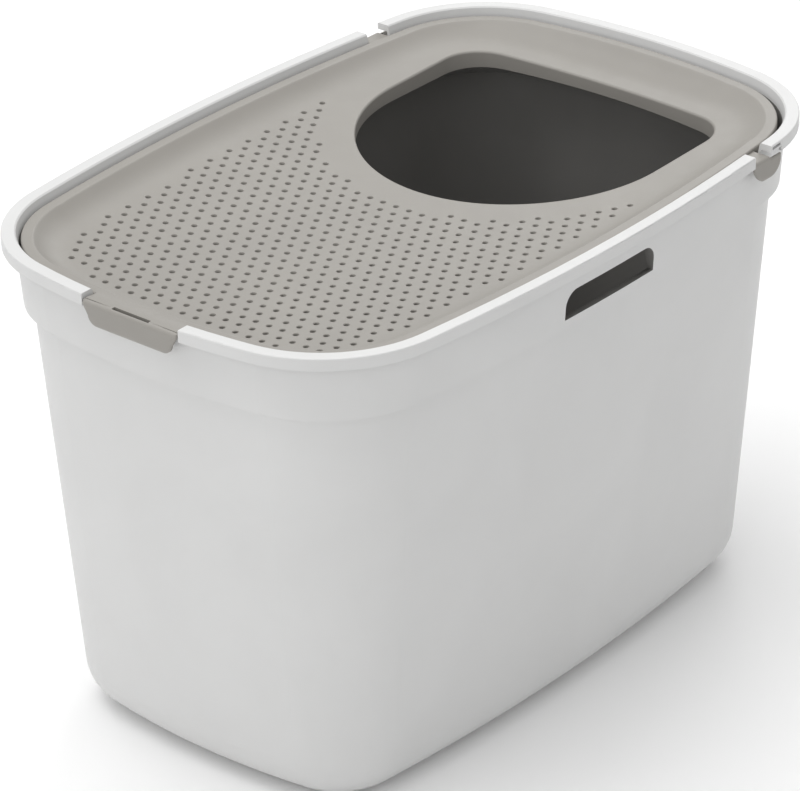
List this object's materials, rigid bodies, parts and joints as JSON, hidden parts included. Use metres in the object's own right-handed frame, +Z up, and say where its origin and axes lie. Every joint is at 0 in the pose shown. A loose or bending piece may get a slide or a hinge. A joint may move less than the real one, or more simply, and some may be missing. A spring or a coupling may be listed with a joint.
{
  "type": "top-entry litter box",
  "caption": "Deep tapered plastic litter box entered from above: dished, perforated, hinged lid with a large rounded opening, hand slots in the long sides and a front latch flap.",
  "frame": {"origin": "middle of the base, on the floor", "axes": "+X along the length, towards the end with the entry opening and hinge ears; -X is the latch end; +Y across the width; +Z up"},
  "size_m": [0.59, 0.39, 0.38],
  "materials": {
    "tub_plastic": "light grey white, fine satin moulded surface",
    "lid_plastic": "warm grey taupe, fine matt grained surface"
  },
  "bodies": {
    "tub_body": {"tub": "tub_plastic"},
    "lid_body": {"lid": "lid_plastic"},
    "latch_body": {"latch": "lid_plastic"}
  },
  "joints": [
    {"name": "lid_hinge", "type": "hinge", "parent": "tub_body", "child": "lid_body", "pos_m": [0.183, 0, 0.374], "axis": [0, 1, 0], "range_deg": [0, 90]},
    {"name": "latch_flex", "type": "hinge", "parent": "lid_body", "child": "latch_body", "pos_m": [-0.2915, 0, 0.3735], "axis": [0, 1, 0], "range_deg": [0, 25], "stiffness_Nm_per_rad": 0.08}
  ]
}
